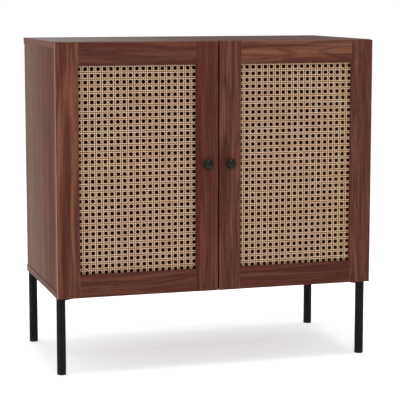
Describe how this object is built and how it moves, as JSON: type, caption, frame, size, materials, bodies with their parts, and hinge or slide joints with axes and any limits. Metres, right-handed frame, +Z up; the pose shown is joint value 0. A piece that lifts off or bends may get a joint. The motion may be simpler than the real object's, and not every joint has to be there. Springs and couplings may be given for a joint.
{
  "type": "sideboard cabinet",
  "caption": "Sideboard with framed woven-cane doors, reddish walnut-look carcass, domed black knobs, slim black tube legs and a shelf inside.",
  "frame": {"origin": "on the floor, in the middle of the whole object's box, knobs included", "axes": "+Z up, doors towards -Y, +X to the right as seen from the front"},
  "size_m": [0.8, 0.4296, 0.8],
  "materials": {
    "walnut_foil": "satin reddish walnut foil on particle board",
    "back_board": "thin hardboard, dark lacquered",
    "beech": "plain turned beech",
    "cane": "woven natural cane",
    "black_metal": "fine black powder coat",
    "black_plastic": "moulded",
    "clear_pad": "clear soft pad",
    "zinc": "die-cast zinc",
    "nickel_steel": "nickel plated"
  },
  "bodies": {
    "carcass": {"top_panel": "walnut_foil", "bottom_panel": "walnut_foil", "left_side_panel": "walnut_foil", "right_side_panel": "walnut_foil", "back_panel": "back_board", "shelf": "walnut_foil", "shelf_pins": "nickel_steel", "cam_locks": "zinc", "cam_bolts": "nickel_steel", "wood_dowels": "beech", "left_hinge_arms": "nickel_steel", "left_mounting_plates": "nickel_steel", "left_plate_screws": "nickel_steel", "left_arm_screws": "nickel_steel", "right_hinge_arms": "nickel_steel", "right_mounting_plates": "nickel_steel", "right_plate_screws": "nickel_steel", "right_arm_screws": "nickel_steel", "front_left_leg": "black_metal", "front_right_leg": "black_metal", "rear_left_leg": "black_metal", "rear_right_leg": "black_metal", "front_left_bracket": "black_metal", "front_right_bracket": "black_metal", "rear_left_bracket": "black_metal", "rear_right_bracket": "black_metal", "front_left_foot": "black_plastic", "front_right_foot": "black_plastic", "rear_left_foot": "black_plastic", "rear_right_foot": "black_plastic", "bracket_screws": "black_metal"},
    "left_door": {"left_hinge_stile": "walnut_foil", "left_meeting_stile": "walnut_foil", "left_top_rail": "walnut_foil", "left_bottom_rail": "walnut_foil", "left_cane_panel": "cane", "left_cane_beads": "walnut_foil", "left_knob": "black_metal", "left_knob_screw": "nickel_steel", "left_hinge_cups": "nickel_steel", "left_hinge_pins": "nickel_steel", "left_cup_screws": "nickel_steel", "left_bumpers": "clear_pad"},
    "right_door": {"right_hinge_stile": "walnut_foil", "right_meeting_stile": "walnut_foil", "right_top_rail": "walnut_foil", "right_bottom_rail": "walnut_foil", "right_cane_panel": "cane", "right_cane_beads": "walnut_foil", "right_knob": "black_metal", "right_knob_screw": "nickel_steel", "right_hinge_cups": "nickel_steel", "right_hinge_pins": "nickel_steel", "right_cup_screws": "nickel_steel", "right_bumpers": "clear_pad"}
  },
  "joints": [
    {"name": "left_door_swing", "type": "hinge", "parent": "carcass", "child": "left_door", "pos_m": [-0.3932, -0.18775, 0.49475], "axis": [0, 0, -1], "range_deg": [0, 95]},
    {"name": "right_door_swing", "type": "hinge", "parent": "carcass", "child": "right_door", "pos_m": [0.3932, -0.18775, 0.49475], "axis": [0, 0, 1], "range_deg": [0, 95]}
  ]
}
